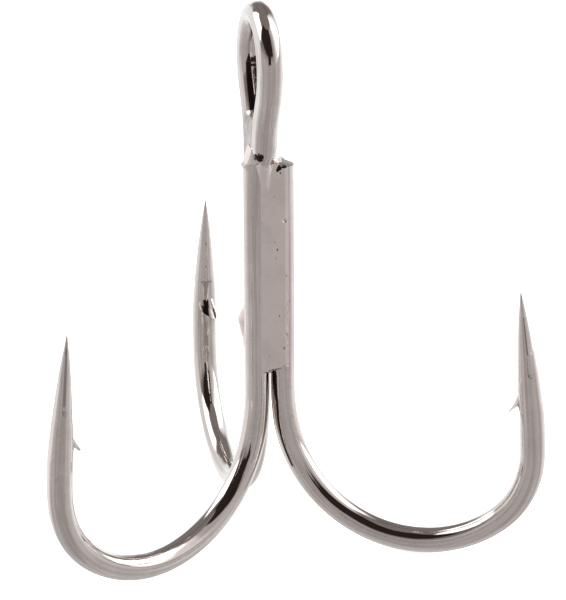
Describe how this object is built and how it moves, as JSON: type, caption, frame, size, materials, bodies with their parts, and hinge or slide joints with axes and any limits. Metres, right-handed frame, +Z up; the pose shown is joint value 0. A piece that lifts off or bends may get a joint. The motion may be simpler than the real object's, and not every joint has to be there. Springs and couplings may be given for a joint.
{
  "type": "treble hook",
  "caption": "Large barbed treble fishing hook: round-bend wires brazed back to back on a short shank, with a tear-shaped line eye.",
  "frame": {"origin": "on the shank's axis, in the plane that the lowest points of the bends rest on", "axes": "+Z up along the shank towards the line eye; the eyed wire's hook points to +Y; the line eye opens along X"},
  "size_m": [0.039, 0.0348, 0.0436],
  "materials": {
    "left_hook": "nickel-plated polished steel wire",
    "right_hook": "nickel-plated polished steel wire",
    "eyed_hook": "nickel-plated polished steel wire",
    "front_braze": "nickel-plated brazing filler, slightly pitted",
    "rear_left_braze": "nickel-plated brazing filler, slightly pitted",
    "rear_right_braze": "nickel-plated brazing filler, slightly pitted",
    "core_braze": "nickel-plated brazing filler, slightly pitted",
    "neck_braze": "nickel-plated brazing filler, slightly pitted",
    "left_end_braze": "nickel-plated brazing filler, slightly pitted",
    "right_end_braze": "nickel-plated brazing filler, slightly pitted"
  },
  "bodies": {
    "root": {"left_hook": "left_hook", "right_hook": "right_hook", "eyed_hook": "eyed_hook", "front_braze": "front_braze", "rear_left_braze": "rear_left_braze", "rear_right_braze": "rear_right_braze", "core_braze": "core_braze", "neck_braze": "neck_braze", "left_end_braze": "left_end_braze", "right_end_braze": "right_end_braze"}
  },
  "joints": []
}
